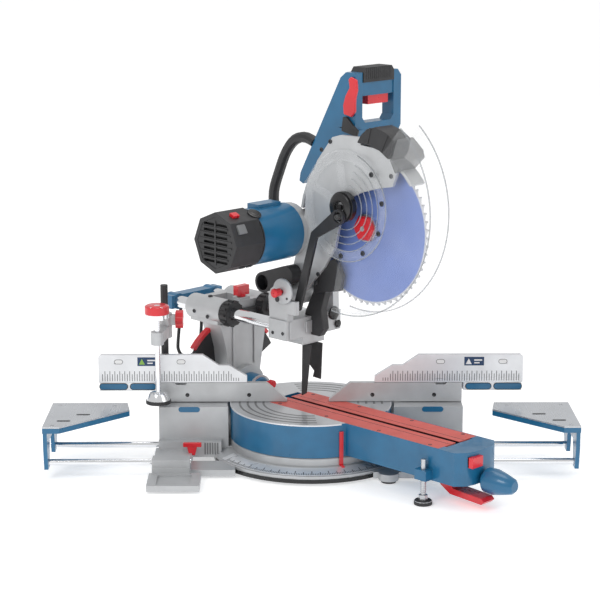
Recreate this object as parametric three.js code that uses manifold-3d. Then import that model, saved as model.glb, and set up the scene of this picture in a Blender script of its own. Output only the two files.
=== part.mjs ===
// Sliding compound miter saw, 305 mm blade. Millimetres, +Z up.
// Origin: turntable axis on the floor. +X runs right along the fence, +Y to the back. Heights below are
// counted from the underside of the base casting, and the last group lifts the saw onto its feet.
// The saw is posed at a 45 degree right miter, head up. Inside the swing group the local axes are
// +X along the table arm (toward the operator), +Y to the operator's right, +Z up.
import * as THREE from 'three';
import { mergeVertices } from 'three/addons/utils/BufferGeometryUtils.js';
import Module from 'manifold-3d';

const wasm = await Module();
wasm.setup();

// ---- driving dimensions ----
const MITER = 45;               // degrees to the right at rest
const GAP = 0.3;                // clearance between touching pieces
const TABLE_Z = 107;            // work surface
const DRUM_R = 163;             // turntable drum
const DRUM_Z = 40.3;            // underside of the drum
const BASE_R = 199;             // scale ring
const SWEEP_R = 169;            // space kept round the drum
const FENCE_Y = 5;              // working face of the fence
const FENCE_TOP = 147.5;        // lower fence
const UPPER_TOP = 206;          // sliding fence
const ARM_S = 448;              // front end of the table arm
const ARM_N = 58;               // half width of the table arm
const KERF = 4.5;               // half width of the kerf slot
const ROD_Z = 30;               // extension table rods
const ROD_R = 6;
const ROD_Y = [-35, -150];
const FLOOR_Z = -5;             // underside of the rubber feet
const RAIL_Z = 272;             // slide rails
const RAIL_N = 52;
const RAIL_R = 12.8;
const PIVOT = [-20, 332];       // chop pivot (s, z)
const BLADE = [155, 488];       // blade centre
const BLADE_R = 152.5;
const BLADE_HALF = 1.4;
const ARBOR_R = 8;
const GUARD = [125, 530];       // centre of the lower guard
const GUARD_R = 215;
const GUARD_ARC = [-100, 50];   // span of the lower guard at rest, degrees
const CRANK = [129.2, 512.5];   // guard crank pin
const LINK_FOOT = [20, 319];    // link pivot on the bracket
const MOTOR = [-35, 463];       // motor axis
const MOTOR_R = 56;
const LOCK_PIN = [-5, 349];      // head lock pin (s, z)
const CLAMP = [-296, 36];       // work clamp post (x, y)
const SPINDLE = [-306, -35];    // work clamp spindle
const CORD_R = 4;

// ---- materials ----
const paint = (color, roughness, metalness) =>
  new THREE.MeshStandardMaterial({ color, roughness, metalness });
const blue = paint(0x2d6c98, 0.45, 0.1);
const cast = paint(0xb9bcc0, 0.5, 0.7);
const black = paint(0x202225, 0.55, 0);
const rubber = paint(0x17181a, 0.85, 0);
const red = paint(0xd01f2b, 0.4, 0);
const salmon = paint(0xcf5a54, 0.5, 0);
const chrome = paint(0xd8dadd, 0.15, 1);
const steel = paint(0x8e9399, 0.35, 1);
const clear = paint(0xe4ebf0, 0.1, 0);
const bladeBlue = paint(0x6f86bd, 0.35, 0.6);
const copper = paint(0xb06a3a, 0.35, 1);

// ---- shape helpers: each returns a closed manifold solid ----
function solid(geometry) {
  const bare = geometry.index ? geometry.toNonIndexed() : geometry;
  for (const name of Object.keys(bare.attributes)) {
    if (name !== 'position') bare.deleteAttribute(name);
  }
  const merged = mergeVertices(bare, 1e-4);
  return new wasm.Manifold(new wasm.Mesh({
    numProp: 3,
    vertProperties: new Float32Array(merged.attributes.position.array),
    triVerts: new Uint32Array(merged.index.array),
  }));
}

const union = (...parts) => parts.reduce((a, b) => a.add(b));

function box(x0, x1, y0, y1, z0, z1) {
  const g = new THREE.BoxGeometry(x1 - x0, y1 - y0, z1 - z0);
  return solid(g.translate((x0 + x1) / 2, (y0 + y1) / 2, (z0 + z1) / 2));
}

function cylX(r, x0, x1, y, z, seg = 16) {
  const g = new THREE.CylinderGeometry(r, r, x1 - x0, seg).rotateZ(-Math.PI / 2);
  return solid(g.translate((x0 + x1) / 2, y, z));
}

function cylY(r, y0, y1, x, z, seg = 16) {
  const g = new THREE.CylinderGeometry(r, r, y1 - y0, seg);
  return solid(g.translate(x, (y0 + y1) / 2, z));
}

function cylZ(r, z0, z1, x, y, seg = 16) {
  const g = new THREE.CylinderGeometry(r, r, z1 - z0, seg).rotateX(Math.PI / 2);
  return solid(g.translate(x, y, (z0 + z1) / 2));
}

function extruded(points, depth, holes = []) {
  const shape = new THREE.Shape(points.map(([a, b]) => new THREE.Vector2(a, b)));
  for (const hole of holes) {
    shape.holes.push(new THREE.Path(hole.map(([a, b]) => new THREE.Vector2(a, b))));
  }
  return new THREE.ExtrudeGeometry(shape, { depth, bevelEnabled: false, curveSegments: 12 });
}

// Outline in (x, z), thickness from y0 to y1.
function plateY(points, y0, y1) {
  return solid(extruded(points, y1 - y0).rotateX(Math.PI / 2).translate(0, y1, 0));
}

// Outline in (x, y), thickness from z0 to z1.
function plateZ(points, z0, z1) {
  return solid(extruded(points, z1 - z0).translate(0, 0, z0));
}

// Outline in (y, z), thickness from x0 to x1.
function plateX(points, x0, x1) {
  const g = extruded(points, x1 - x0).rotateX(Math.PI / 2).rotateZ(Math.PI / 2);
  return solid(g.translate(x0, 0, 0));
}

// Profile in (radius, height) turned about Z.
function turned(profile, seg = 32) {
  return solid(new THREE.LatheGeometry(profile.map(([r, z]) => new THREE.Vector2(r, z)), seg)
    .rotateX(Math.PI / 2));
}

function arc(cx, cz, r, from, to, steps) {
  const points = [];
  for (let i = 0; i <= steps; i++) {
    const a = THREE.MathUtils.degToRad(from + (to - from) * (steps ? i / steps : 0));
    points.push([cx + r * Math.cos(a), cz + r * Math.sin(a)]);
  }
  return points;
}

// Ring sector in (s, z) about a centre, thickness along the blade axis.
function sector([cx, cz], r0, r1, from, to, y0, y1, steps = 24) {
  const outline = [...arc(cx, cz, r1, from, to, steps), ...arc(cx, cz, r0, to, from, steps)];
  return plateY(outline, y0, y1);
}

// Two discs joined by their tangent band, in (s, z).
function capsule([ax, az], ra, [bx, bz], rb, y0, y1) {
  const tilt = THREE.MathUtils.radToDeg(Math.atan2(bz - az, bx - ax));
  const outline = [...arc(ax, az, ra, tilt + 90, tilt + 270, 8),
    ...arc(bx, bz, rb, tilt - 90, tilt + 90, 8)];
  return plateY(outline, y0, y1);
}

function tube(points, r, seg, steps) {
  const curve = new THREE.CatmullRomCurve3(points.map((p) => new THREE.Vector3(...p)));
  const section = new THREE.Shape(arc(0, 0, r, 0, 360 - 360 / seg, seg - 1)
    .map(([a, b]) => new THREE.Vector2(a, b)));
  return solid(new THREE.ExtrudeGeometry(section, { extrudePath: curve, steps, bevelEnabled: false }));
}

function mesh(name, body, material) {
  const { vertProperties, triVerts } = body.getMesh();
  const geometry = new THREE.BufferGeometry();
  geometry.setAttribute('position', new THREE.BufferAttribute(new Float32Array(vertProperties), 3));
  geometry.setIndex(new THREE.BufferAttribute(new Uint32Array(triVerts), 1));
  geometry.computeVertexNormals();
  const part = new THREE.Mesh(geometry, material);
  part.name = name;
  return part;
}

// Star-shaped grip outline with n lobes.
function lobes(cx, cy, r, depth, n) {
  const points = [];
  for (let i = 0; i < n * 4; i++) {
    const a = i / (n * 4) * 2 * Math.PI;
    const radius = r - depth * (0.5 - 0.5 * Math.cos(n * a));
    points.push([cx + radius * Math.cos(a), cy + radius * Math.sin(a)]);
  }
  return points;
}

// ---- fixed base ----
function baseCasting() {
  const ring = turned([[24, 0], [BASE_R, 0], [BASE_R, 14], [167, 23], [150, 23], [150, 40],
    [24, 40], [24, 0]], 48);
  let body = ring;
  for (const side of [-1, 1]) {
    const span = (a, b) => (side < 0 ? [-b, -a] : [a, b]);
    const wing = box(...span(110, 306), -28, 50, 12, 106);
    const step = box(...span(180, 306), -50, -27, 8, 40);
    const leg = box(...span(238, 312), -170, -40, 0, 24);
    const guide = box(...span(238, 312), -166, -134, 0, 38);
    const rear = box(...span(150, 306), 49, 120, 0, 26);
    body = union(body, wing, step, leg, guide, rear);
  }
  const toe = plateY([[-318, 0], [-216, 0], [-216, 12], [-318, 12]], -245, -165);
  const recess = box(-300, -234, -236, -176, 7, 13);
  const rightToe = cylZ(20, 0, 14, 150, -170);
  const tie = box(-260, -150, -150, -90, 0, 13);
  const rightTie = box(120, 260, -165, -90, 0, 13);
  const cordBoss = box(-16, 16, 190, 214, 0, 22);
  body = union(body, toe.subtract(recess), rightToe, tie, rightTie, cordBoss);
  body = body.subtract(cylZ(SWEEP_R, 24, 110, 0, 0, 44));
  for (const y of ROD_Y) {
    body = body.subtract(cylX(ROD_R + GAP, -320, -150, y, ROD_Z));
    body = body.subtract(cylX(ROD_R + GAP, 150, 320, y, ROD_Z));
  }
  body = body.subtract(cylZ(7.5 + GAP, 30, 110, ...CLAMP));
  body = body.subtract(cylZ(7.5 + GAP, 30, 110, -CLAMP[0], CLAMP[1]));
  return body.subtract(cylY(CORD_R + 3, 200, 216, 0, 11));
}

// Outline of a lower fence on the +X side, tip at x0.
function lowerFence(x0, side) {
  const at = (x) => side * x;
  const face = plateY([[at(x0), 108], [at(x0), 112], [at(x0 + 42), FENCE_TOP], [at(250), FENCE_TOP],
    [at(254), 143], [at(272), 143], [at(276), FENCE_TOP], [at(306), FENCE_TOP], [at(306), 108]],
  FENCE_Y, 17);
  const [a, b] = side < 0 ? [-284, -185] : [185, 284];
  let body = union(face, box(a, b, 16, 46, 106.3, 114));
  for (const x of [125, 250]) body = body.subtract(cylY(4, 0, 20, at(x), 122, 16));
  for (const x of [200, 268]) body = body.subtract(cylZ(4, 100, 120, at(x), 32, 16));
  return body;
}

function upperFence(side) {
  const at = (x) => side * x;
  let body = plateY([[at(129), 148.3], [at(129), 161], [at(165), 184], [at(186), 184], [at(218), UPPER_TOP],
    [at(424), UPPER_TOP], [at(429), 201], [at(429), 148.3]], FENCE_Y, 15);
  for (const x of [262, 390]) body = body.subtract(box(at(x) - 7, at(x) + 7, 0, 20, 187, 195));
  const span = (a, b) => (side < 0 ? [-b, -a] : [a, b]);
  return union(body, box(...span(309, 427), 6, 22, 131, 149), box(...span(170, 427), 17.4, 22, 131, 149),
    box(...span(170, 427), 14, 22, 148.3, 160));
}

// ---- extension tables ----
const EXT = [[522, 1], [523, -171.5], [490, -171.5], [363, -50], [371, 1]];

function extensionFrame(side) {
  const rim = plateZ(EXT.map(([x, y]) => [side * x, y]), 94, 104);
  const leg = plateX([[0, 95], [-171, 95], [-171, 60], [-162, 18], [-138, 18], [-128, 70], [-60, 70],
    [-47, 18], [-23, 18], [0, 60]], 514, 522);
  const wall = side < 0 ? leg.mirror([1, 0, 0]) : leg;
  let body = union(rim, wall);
  for (const y of ROD_Y) {
    const [a, b] = side < 0 ? [-530, -500] : [500, 530];
    body = body.subtract(cylX(ROD_R + GAP, a, b, y, ROD_Z));
  }
  return body;
}

const extensionPlate = (side) => plateZ(EXT.map(([x, y]) => [side * x, y]), 104.3, TABLE_Z);

function extensionRod(side, y) {
  return side < 0 ? cylX(ROD_R, -524, -236, y, ROD_Z) : cylX(ROD_R, 236, 524, y, ROD_Z);
}

// ---- work clamp ----
function clampArm() {
  const [px, py] = CLAMP;
  const [sx, sy] = SPINDLE;
  const arm = plateZ([[px - 12, py], [px + 12, py], [sx + 11, sy], [sx - 11, sy]], 240, 262);
  let body = union(arm, cylZ(15, 236, 286, px, py), cylZ(13, 238, 264, sx, sy));
  body = union(body, box(px + 8, px + 22, py - 8, py + 8, 262, 282));
  body = body.subtract(cylZ(7.5 + GAP, 230, 290, px, py));
  body = body.subtract(cylZ(5.5 + GAP, 230, 290, sx, sy));
  return body.subtract(cylX(4 + GAP, px + 7, px + 30, py, 273, 16));
}

const clampArmKnob = () => union(cylX(4, CLAMP[0] + 8.3, CLAMP[0] + 30, CLAMP[1], 273, 16),
  plateX(lobes(CLAMP[1], 273, 19, 5, 6), CLAMP[0] + 22.5, CLAMP[0] + 38));

// Threaded spindle with its star knob and swivel pad.
function clampSpindle() {
  const pad = turned([[0, 117], [25, 117], [25, 123], [17, 138], [0, 140], [0, 117]], 24);
  const knob = plateZ(lobes(...SPINDLE, 24, 6, 6), 291, 318);
  return union(cylZ(5.5, 124, 306, ...SPINDLE, 20), pad.translate([...SPINDLE, 0]), knob);
}

// ---- turntable ----
function turntable() {
  const drum = cylZ(DRUM_R, DRUM_Z, TABLE_Z, 0, 0, 56);
  const arm = plateZ([[80, -ARM_N], [ARM_S - 20, -ARM_N], [ARM_S - 4, -40], [ARM_S, -20], [ARM_S, 20],
    [ARM_S - 4, 40], [ARM_S - 20, ARM_N], [80, ARM_N]], 42, TABLE_Z);
  const lug = box(348, 376, -78, -ARM_N + 1, 44, 64);
  const yoke = box(-180, -120, -29, 29, 52, 106);
  const boss = cylX(30, -180, -146, 0, TABLE_Z, 20);
  let body = union(drum, arm, lug, yoke, boss);
  body = body.subtract(box(-62, 387, -56.3, 56.3, 102.4, 110));
  body = body.subtract(box(-75, 392, -38, 38, 60, 110));
  body = union(body, cylX(12, -264, -150, 0, TABLE_Z), cylX(20, -270, -262.4, 0, TABLE_Z));
  body = body.subtract(cylX(6 + GAP, 380, 460, 5, 48, 16));
  body = body.subtract(box(441, 460, -38.3, -7.7, 77.7, 98.3));
  body = body.subtract(box(430, 447, -34, -12, 80, 96));
  body = body.subtract(cylZ(5 + GAP, 40, 66, 362, -68, 16));
  return body.subtract(cylZ(10 + GAP, 30, 59, 0, 0));
}

function kerfInsert(side) {
  const slope = [[KERF, TABLE_Z], [KERF + 5, 102.7], [56, 102.7], [56, TABLE_Z]];
  return plateX(slope.map(([n, z]) => [side * n, z]), -61.7, 386.7);
}

const miterKnob = () => turned([[0, 0], [16, 0], [24, 8], [25, 26], [21, 44], [15, 66], [10, 71],
  [0, 71]], 32)
  .rotate([0, 90, 0]).translate([451, 5, 48]);

const miterShaft = () => cylX(6, 392.6, 469.7, 5, 48, 16);

const detentButton = () => union(box(446.3, 456, -38, -8, 78, 98), box(436, 447, -31, -15, 82, 94));

const detentLever = () => plateY([[368, 40], [368, 26], [392, 12], [468, 8], [474, 14], [468, 20],
  [400, 24], [386, 40]], -26, 6);

const levellingFoot = () => union(cylZ(5, 0, 84, 362, -68, 16), cylZ(17, FLOOR_Z, 3, 362, -68),
  cylZ(9, 2, 14, 362, -68, 6));

const pivotBolt = () => union(cylZ(22, FLOOR_Z, 8, 0, 0, 20), cylZ(10, 7, 58, 0, 0));

// ---- bevel arm with the rail housing ----
function bevelArm() {
  const disc = cylX(45, -196, -180.4, 0, TABLE_Z, 24);
  const post = plateX([[-34, 66], [34, 66], [42, 110], [58, 200], [66, 245.7], [-66, 245.7], [-50, 190],
    [-42, 110]], -250, -195);
  const window = plateX([[-18, 130], [18, 130], [30, 215], [-24, 215]], -251, -225);
  const tail = cylX(20, -262, -249, 0, TABLE_Z, 24);
  let body = union(disc, post.subtract(window), tail);
  body = body.subtract(cylX(12 + GAP, -264, -178, 0, TABLE_Z));
  return body;
}

function slideHousing() {
  let body = box(-290, -190, -54, 54, 250, 290);
  body = body.subtract(box(-270, -210, -22, 22, 270, 300));
  body = union(body, box(-282, -200, -70, 70, 246, 256), box(-215, -191, -14, 14, 285, 296));
  for (const n of [-RAIL_N, RAIL_N]) body = body.add(cylX(26, -290, -190, n, RAIL_Z, 20));
  for (const n of [-RAIL_N, RAIL_N]) body = body.subtract(cylX(RAIL_R + GAP, -300, -180, n, RAIL_Z, 20));
  return body.subtract(cylZ(5 + GAP, 270, 300, -202, 0, 16));
}

function railCollars() {
  const collar = (n) => cylX(25, -189.7, -168, n, RAIL_Z, 20);
  const body = union(collar(-RAIL_N), collar(RAIL_N), box(-189.7, -180, -40, 40, 262, 274));
  return body.subtract(cylX(RAIL_R + GAP, -200, -160, -RAIL_N, RAIL_Z, 20))
    .subtract(cylX(RAIL_R + GAP, -200, -160, RAIL_N, RAIL_Z, 20));
}

const slideLockKnob = () => union(cylZ(5, 272, 300, -202, 0, 16), cylZ(9, 296.4, 303, -202, 0, 16),
  box(-209, -195, -16, 16, 300, 320));

// ---- sliding bracket ----
function headBracket() {
  const [ps, pz] = PIVOT;
  let body = union(box(-42, 8, -78, 78, 250, 290), box(-42, 8, -30, 30, 234, 251));
  for (const side of [-1, 1]) {
    const [a, b] = side < 0 ? [-74, -57] : [57, 74];
    const ear = capsule([ps, pz], 26, [-17, 275], 25, a, b);
    body = union(body, ear);
  }
  body = union(body, box(-8, 30, -74, -64, 305, 332), cylY(5, -66, -50, ...LINK_FOOT, 16));
  for (const n of [-RAIL_N, RAIL_N]) body = body.subtract(cylX(RAIL_R + GAP, -60, -27.7, n, RAIL_Z, 20));
  body = union(body, cylY(9, -78, 78, ps, pz));
  return body.subtract(cylY(4 + GAP, -80, -50, ...LOCK_PIN, 16));
}

const rail = (n) => cylX(RAIL_R, -350, -28, n, RAIL_Z, 20);

function railCap() {
  const bar = box(-366, -338, -72, 72, 258, 286);
  let body = union(bar, cylX(17, -366, -338, -RAIL_N, RAIL_Z, 24), cylX(17, -366, -338, RAIL_N, RAIL_Z, 24));
  for (const n of [-RAIL_N, RAIL_N]) body = body.subtract(cylX(RAIL_R + GAP, -350.3, -330, n, RAIL_Z, 20));
  return body;
}

const lockPin = () => union(cylY(4, -86, -57.3, ...LOCK_PIN, 16), cylY(8, -96, -85, ...LOCK_PIN, 20));

const chipFlap = () => plateY([[-22, 233.7], [-19, 124], [-9, 122], [-4, 165], [0, 132], [8, 132],
  [22, 233.7]], -3, 3);

const guardLink = () => union(capsule(LINK_FOOT, 9, [66, 470], 8, -60.5, -54),
  capsule([66, 470], 8, CRANK, 15, -60.5, -54)).subtract(cylY(11, -64, -50, ...CRANK, 20))
  .subtract(cylY(5 + GAP, -64, -50, ...LINK_FOOT, 16));

// ---- head ----
function upperGuard() {
  const skin = [[-40, 340], [-14, 420], [8, 497], [13, 548], [43, 610], [83, 659], [104, 665], [156, 666],
    [157, 651], [205, 648], [243, 626], [254, 618], [239, 580], [200, 572], [160, 560], [118, 540],
    [104, 500], [92, 445], [62, 400], [6, 340]];
  let body = union(plateY(skin, -27, -20), cylY(24, -27, -20, ...PIVOT));
  body = union(body, cylY(20, -54, 54, ...PIVOT, 20), cylY(18, -27, -20, ...GUARD, 24));
  body = union(body, sector(BLADE, 157, 163, 38, 172, -22, 15, 16));
  body = union(body, sector(BLADE, 96, 163, 60, 172, 11, 15, 16));
  body = union(body, capsule(PIVOT, 18, [24, 440], 14, 11, 15));
  body = union(body, cylY(54, -39.7, -20, ...MOTOR, 24), cylY(10, -44, -25, ...GUARD));
  body = body.subtract(cylY(ARBOR_R + GAP, -45, -10, ...MOTOR));
  return body.subtract(cylY(9 + GAP, -60, 60, ...PIVOT));
}

function lowerGuard() {
  const ring = (y0, y1) => cylY(110, y0, y1, ...GUARD, 28).subtract(cylY(88, y0 - 1, y1 + 1, ...GUARD, 28));
  const wall = (y0, y1) => sector(GUARD, 104, GUARD_R, ...GUARD_ARC, y0, y1, 18);
  return union(ring(-33, -30), ring(17, 20), wall(-33, -30), wall(17, 20),
    sector(GUARD, 211, GUARD_R, ...GUARD_ARC, -32, 19, 18));
}

function guardHub() {
  let body = cylY(108, -36.5, -33.3, ...GUARD, 28).subtract(cylY(89, -38, -30, ...GUARD, 28));
  const spokes = [100, 160].map((angle) => {
    const a = THREE.MathUtils.degToRad(angle);
    return capsule(GUARD, 10, [GUARD[0] + 92 * Math.cos(a), GUARD[1] + 92 * Math.sin(a)], 8, -36.5, -33.3);
  });
  body = union(body, ...spokes, cylY(27, -46, -33.3, ...GUARD, 20));
  body = body.add(cylY(5, -64, -45, ...CRANK, 16));
  return body.subtract(cylY(10 + GAP, -44.3, -30, ...GUARD));
}

function sawBlade() {
  const teeth = 60;
  const outline = [];
  for (let i = 0; i < teeth; i++) {
    outline.push(...arc(...BLADE, BLADE_R, i * 360 / teeth, i * 360 / teeth, 0));
    outline.push(...arc(...BLADE, BLADE_R - 7, (i + 0.12) * 360 / teeth, (i + 0.12) * 360 / teeth, 0));
  }
  return plateY(outline, -BLADE_HALF, BLADE_HALF).subtract(cylY(ARBOR_R + GAP, -5, 5, ...BLADE));
}

// Arbor with the outer flange, its hexagon bolt and the driven pulley.
const arborShaft = () => union(cylY(ARBOR_R, -12, 42, ...BLADE), cylY(27, -9.7, -1.7, ...BLADE, 20),
  cylY(10, -18, -9, ...BLADE, 6), cylY(21, 28.6, 41, ...BLADE, 20), cylY(24, 1.7, 8, ...BLADE, 20));

function driveBelt() {
  return capsule(BLADE, 25, MOTOR, 19, 29, 40).subtract(capsule(BLADE, 22.4, MOTOR, 16.4, 28, 41));
}

function beltHousing() {
  let body = union(capsule(BLADE, 30, MOTOR, 36, 24, 27), sector(GUARD, 20, 84, 60, 250, 16.5, 27, 20));
  const wall = capsule(BLADE, 30, MOTOR, 36, 24, 43).subtract(capsule(BLADE, 27.5, MOTOR, 33.5, 23, 44));
  const arm = capsule(PIVOT, 20, [-30, 430], 16, 24, 40).subtract(capsule(BLADE, 29, MOTOR, 35, 23, 44));
  body = union(body, wall, arm);
  body = body.subtract(cylY(9 + GAP, 20, 60, ...PIVOT));
  body = body.subtract(cylY(20 + GAP, 20, 60, ...PIVOT, 20));
  body = body.subtract(cylY(ARBOR_R + GAP, 20, 28, ...BLADE));
  return body.subtract(cylY(ARBOR_R + GAP, 20, 28, ...MOTOR));
}

// ---- motor ----
function motorHousing() {
  const [s, z] = MOTOR;
  let body = cylY(MOTOR_R, -148, -40, s, z, 24);
  body = union(body, box(s - 22, s + 10, -120, -60, z + 50, z + 62));
  body = body.subtract(cylY(50, -150, -50, s, z, 20));
  return body.subtract(cylY(ARBOR_R + GAP, -60, -30, s, z));
}

function motorEndCap() {
  const [s, z] = MOTOR;
  let body = union(cylY(MOTOR_R - 1, -196, -148.3, s, z, 24), cylY(51, -226, -195, s, z, 8));
  body = body.subtract(cylY(50, -186, -140, s, z, 20));
  for (let i = -3; i <= 3; i++) {
    const height = z + i * 12;
    body = body.subtract(box(s - 33, s + 33, -230, -218, height - 2.5, height + 2.5));
  }
  return body;
}

// Armature, its fan, the motor shaft and the drive pulley.
const motorRotor = () => union(cylY(36, -138, -66, ...MOTOR, 20), cylY(44, -62, -54, ...MOTOR, 20),
  cylY(ARBOR_R, -160, 41.5, ...MOTOR), cylY(15, 28.6, 41, ...MOTOR, 20));

const dustPort = () => capsule([-18, 376], 19, [-84, 352], 21, -54, -27.3)
  .subtract(cylY(16, -56, -32, -84, 352));

// ---- handles ----
function handleArm() {
  const strip = plateY([[-60, 552], [-50, 547], [18, 621], [47, 669], [61, 672], [92, 690], [92, 778],
    [66, 778], [52, 767], [-57, 569]], 28, 44);
  const loop = plateX([[28, 652], [150, 652], [160, 668], [160, 766], [150, 778], [138, 778], [138, 690],
    [130, 680], [56, 680], [48, 690], [48, 778], [36, 778], [28, 768]], 62, 92);
  const bar = box(64, 90, 40, 146, 732, 758).subtract(box(67.3, 86.7, 69, 129, 731, 742));
  const shoulder = plateY([[18, 621], [96, 640], [100, 668], [47, 669]], 28, 44);
  return union(strip, shoulder, loop, bar);
}

const handleGrip = () => plateX([[49, 758.3], [137, 758.3], [137, 778], [130, 787], [56, 787],
  [49, 778]], 60, 94);

const trigger = () => box(68, 86, 70, 128, 714, 736);

const lockOffLever = () => plateX([[21, 700], [27.7, 696], [27.7, 752], [21, 748]], 66, 96);

const carryHandle = () => tube([[-72, 34, 462], [-104, 34, 464], [-134, 34, 482], [-139, 34, 518],
  [-122, 34, 566], [-101, 34, 608], [-78, 34, 632], [-50, 34, 640], [-10, 34, 628]], 11, 10, 26)
  .subtract(plateY([[-57.4, 569.2], [51.6, 767.2], [200, 767], [200, 500], [-57.4, 500]], 10, 60));

// ---- cord on the floor behind the saw ----
const COIL = [64, 304];
const COIL_OUTER = 68;
const cordGland = () => turned([[CORD_R + GAP, 0], [CORD_R + 2.7, 0], [CORD_R + 2.7, 12.3], [11, 12.3],
  [9, 24], [CORD_R + GAP, 26], [CORD_R + GAP, 0]], 16).rotate([-90, 0, 0]).translate([0, 202, 11]);

// Straight out of the gland, down to the floor and along the left of the coil.
const cordTube = () => tube([[0, 203, 11], [0, 215, 11], [0, 229, 11], [0, 240, 10.5], [-2, 256, 7],
  [-6, 276, 1], [COIL[0] - COIL_OUTER - CORD_R - GAP, 304, -1]], CORD_R, 8, 16);

const cordCoil = () => turned([[28, FLOOR_Z], [COIL_OUTER, FLOOR_Z], [COIL_OUTER, 11], [28, 11],
  [28, FLOOR_Z]], 28).translate([...COIL, 0]);

// Lies beside the coil with its pins towards the base.
function plug() {
  const [x, y] = [COIL[0] + COIL_OUTER + 4, COIL[1] - 52];
  const body = box(x - 17, x + 17, y - 38, y, FLOOR_Z, 16);
  const pins = [-9, 9].map((dx) => cylY(2.4, y - 56, y - 37, x + dx, 5, 12));
  return union(body, ...pins, cylY(6, y - 1, y + 16, x, 4, 12));
}

// ---- assembly ----
const saw = new THREE.Group();
saw.position.z = -FLOOR_Z;
const swing = new THREE.Group();
swing.rotation.z = THREE.MathUtils.degToRad(-MITER);
saw.add(swing);

const add = (group, name, body, material) => group.add(mesh(name, body, material));

add(saw, 'base_casting', baseCasting(), cast);
add(saw, 'pivot_bolt', pivotBolt(), steel);
for (const [i, [x, y]] of [[-267, -205], [150, -170], [-270, 95], [270, 95]].entries()) {
  add(saw, `rubber_foot_${i + 1}`, cylZ(15, FLOOR_Z, -GAP, x, y), rubber);
}
for (const [label, side, tip] of [['left', -1, 48], ['right', 1, 37]]) {
  add(saw, `fence_${label}`, lowerFence(tip, side), cast);
  add(saw, `upper_fence_${label}`, upperFence(side), cast);
  add(saw, `extension_frame_${label}`, extensionFrame(side), blue);
  add(saw, `extension_plate_${label}`, extensionPlate(side), steel);
  add(saw, `extension_rod_${label}_rear`, extensionRod(side, ROD_Y[0]), chrome);
  add(saw, `extension_rod_${label}_front`, extensionRod(side, ROD_Y[1]), chrome);
}
add(saw, 'clamp_post', cylZ(7.5, 32, 344, ...CLAMP), black);
add(saw, 'clamp_arm', clampArm(), cast);
add(saw, 'clamp_arm_knob', clampArmKnob(), red);
add(saw, 'clamp_spindle', clampSpindle(), chrome);
add(saw, 'cord_gland', cordGland(), rubber);
add(saw, 'cord_tube', cordTube(), black);
add(saw, 'cord_coil', cordCoil(), black);
add(saw, 'plug', plug(), black);

add(swing, 'turntable', turntable(), blue);
add(swing, 'kerf_insert_left', kerfInsert(-1), salmon);
add(swing, 'kerf_insert_right', kerfInsert(1), salmon);
add(swing, 'miter_knob', union(miterKnob(), miterShaft()), blue);
add(swing, 'detent_button', detentButton(), red);
add(swing, 'detent_lever', detentLever(), red);
add(swing, 'levelling_foot', levellingFoot(), black);

add(swing, 'bevel_arm', bevelArm(), cast);
add(swing, 'slide_housing', slideHousing(), cast);
add(swing, 'rail_collars', railCollars(), black);
add(swing, 'slide_lock_knob', slideLockKnob(), red);

add(swing, 'rail_left', rail(-RAIL_N), chrome);
add(swing, 'rail_right', rail(RAIL_N), chrome);
add(swing, 'rail_cap', railCap(), blue);
add(swing, 'head_bracket', headBracket(), cast);
add(swing, 'head_lock_pin', lockPin(), red);
add(swing, 'chip_flap', chipFlap(), rubber);
add(swing, 'guard_link', guardLink(), black);

add(swing, 'upper_guard', upperGuard(), cast);
add(swing, 'belt_housing', beltHousing(), black);
add(swing, 'drive_belt', driveBelt(), rubber);
add(swing, 'arbor_shaft', arborShaft(), steel);
add(swing, 'saw_blade', sawBlade(), bladeBlue);
add(swing, 'motor_housing', motorHousing(), blue);
add(swing, 'motor_end_cap', motorEndCap(), black);
add(swing, 'motor_rotor', motorRotor(), copper);
add(swing, 'dust_port', dustPort(), black);
add(swing, 'handle_arm', handleArm(), blue);
add(swing, 'handle_grip', handleGrip(), rubber);
add(swing, 'trigger', trigger(), red);
add(swing, 'lock_off_lever', lockOffLever(), red);
add(swing, 'carry_handle', carryHandle(), black);
add(swing, 'lower_guard', lowerGuard(), clear);
add(swing, 'guard_hub', guardHub(), cast);
export default saw;
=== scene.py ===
"""Looks for the sliding miter saw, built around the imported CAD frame.

Shapes are given in millimetres from the turntable axis. SWING follows the arm: its first number runs
along the arm, its second across it. BASE follows the fence. Heights are measured from under the base.
"""

import math

import bmesh
import bpy
from mathutils import Matrix, Vector


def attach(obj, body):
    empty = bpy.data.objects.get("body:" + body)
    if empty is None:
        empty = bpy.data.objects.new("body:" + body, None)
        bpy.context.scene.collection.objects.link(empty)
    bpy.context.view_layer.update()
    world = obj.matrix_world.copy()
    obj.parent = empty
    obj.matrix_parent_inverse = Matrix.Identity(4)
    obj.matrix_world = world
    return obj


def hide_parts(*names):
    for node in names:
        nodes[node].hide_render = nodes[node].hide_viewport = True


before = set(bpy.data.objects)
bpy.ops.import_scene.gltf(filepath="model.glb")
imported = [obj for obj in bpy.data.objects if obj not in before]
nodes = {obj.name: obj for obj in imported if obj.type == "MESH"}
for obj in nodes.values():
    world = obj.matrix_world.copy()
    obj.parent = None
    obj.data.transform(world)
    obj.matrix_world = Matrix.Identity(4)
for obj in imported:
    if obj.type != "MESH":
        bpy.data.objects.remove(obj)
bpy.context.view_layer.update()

FLOOR = 5.0            # height of the base's zero above the floor
C45 = math.sqrt(0.5)
BASE = Matrix(((0.001, 0, 0, 0), (0, 0.001, 0, 0), (0, 0, 0.001, 0.001 * FLOOR), (0, 0, 0, 1)))
SWING = BASE @ Matrix(((C45, C45, 0, 0), (-C45, C45, 0, 0), (0, 0, 1, 0), (0, 0, 0, 1)))
BLADE, GUARD, MOTOR = (155, 488), (125, 530), (-35, 463)  # axes: distance along the arm, height
BEVEL_Z = 107          # height of the work surface and of the bevel axis
RAIL_N, RAIL_Z = 52, 272
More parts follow.
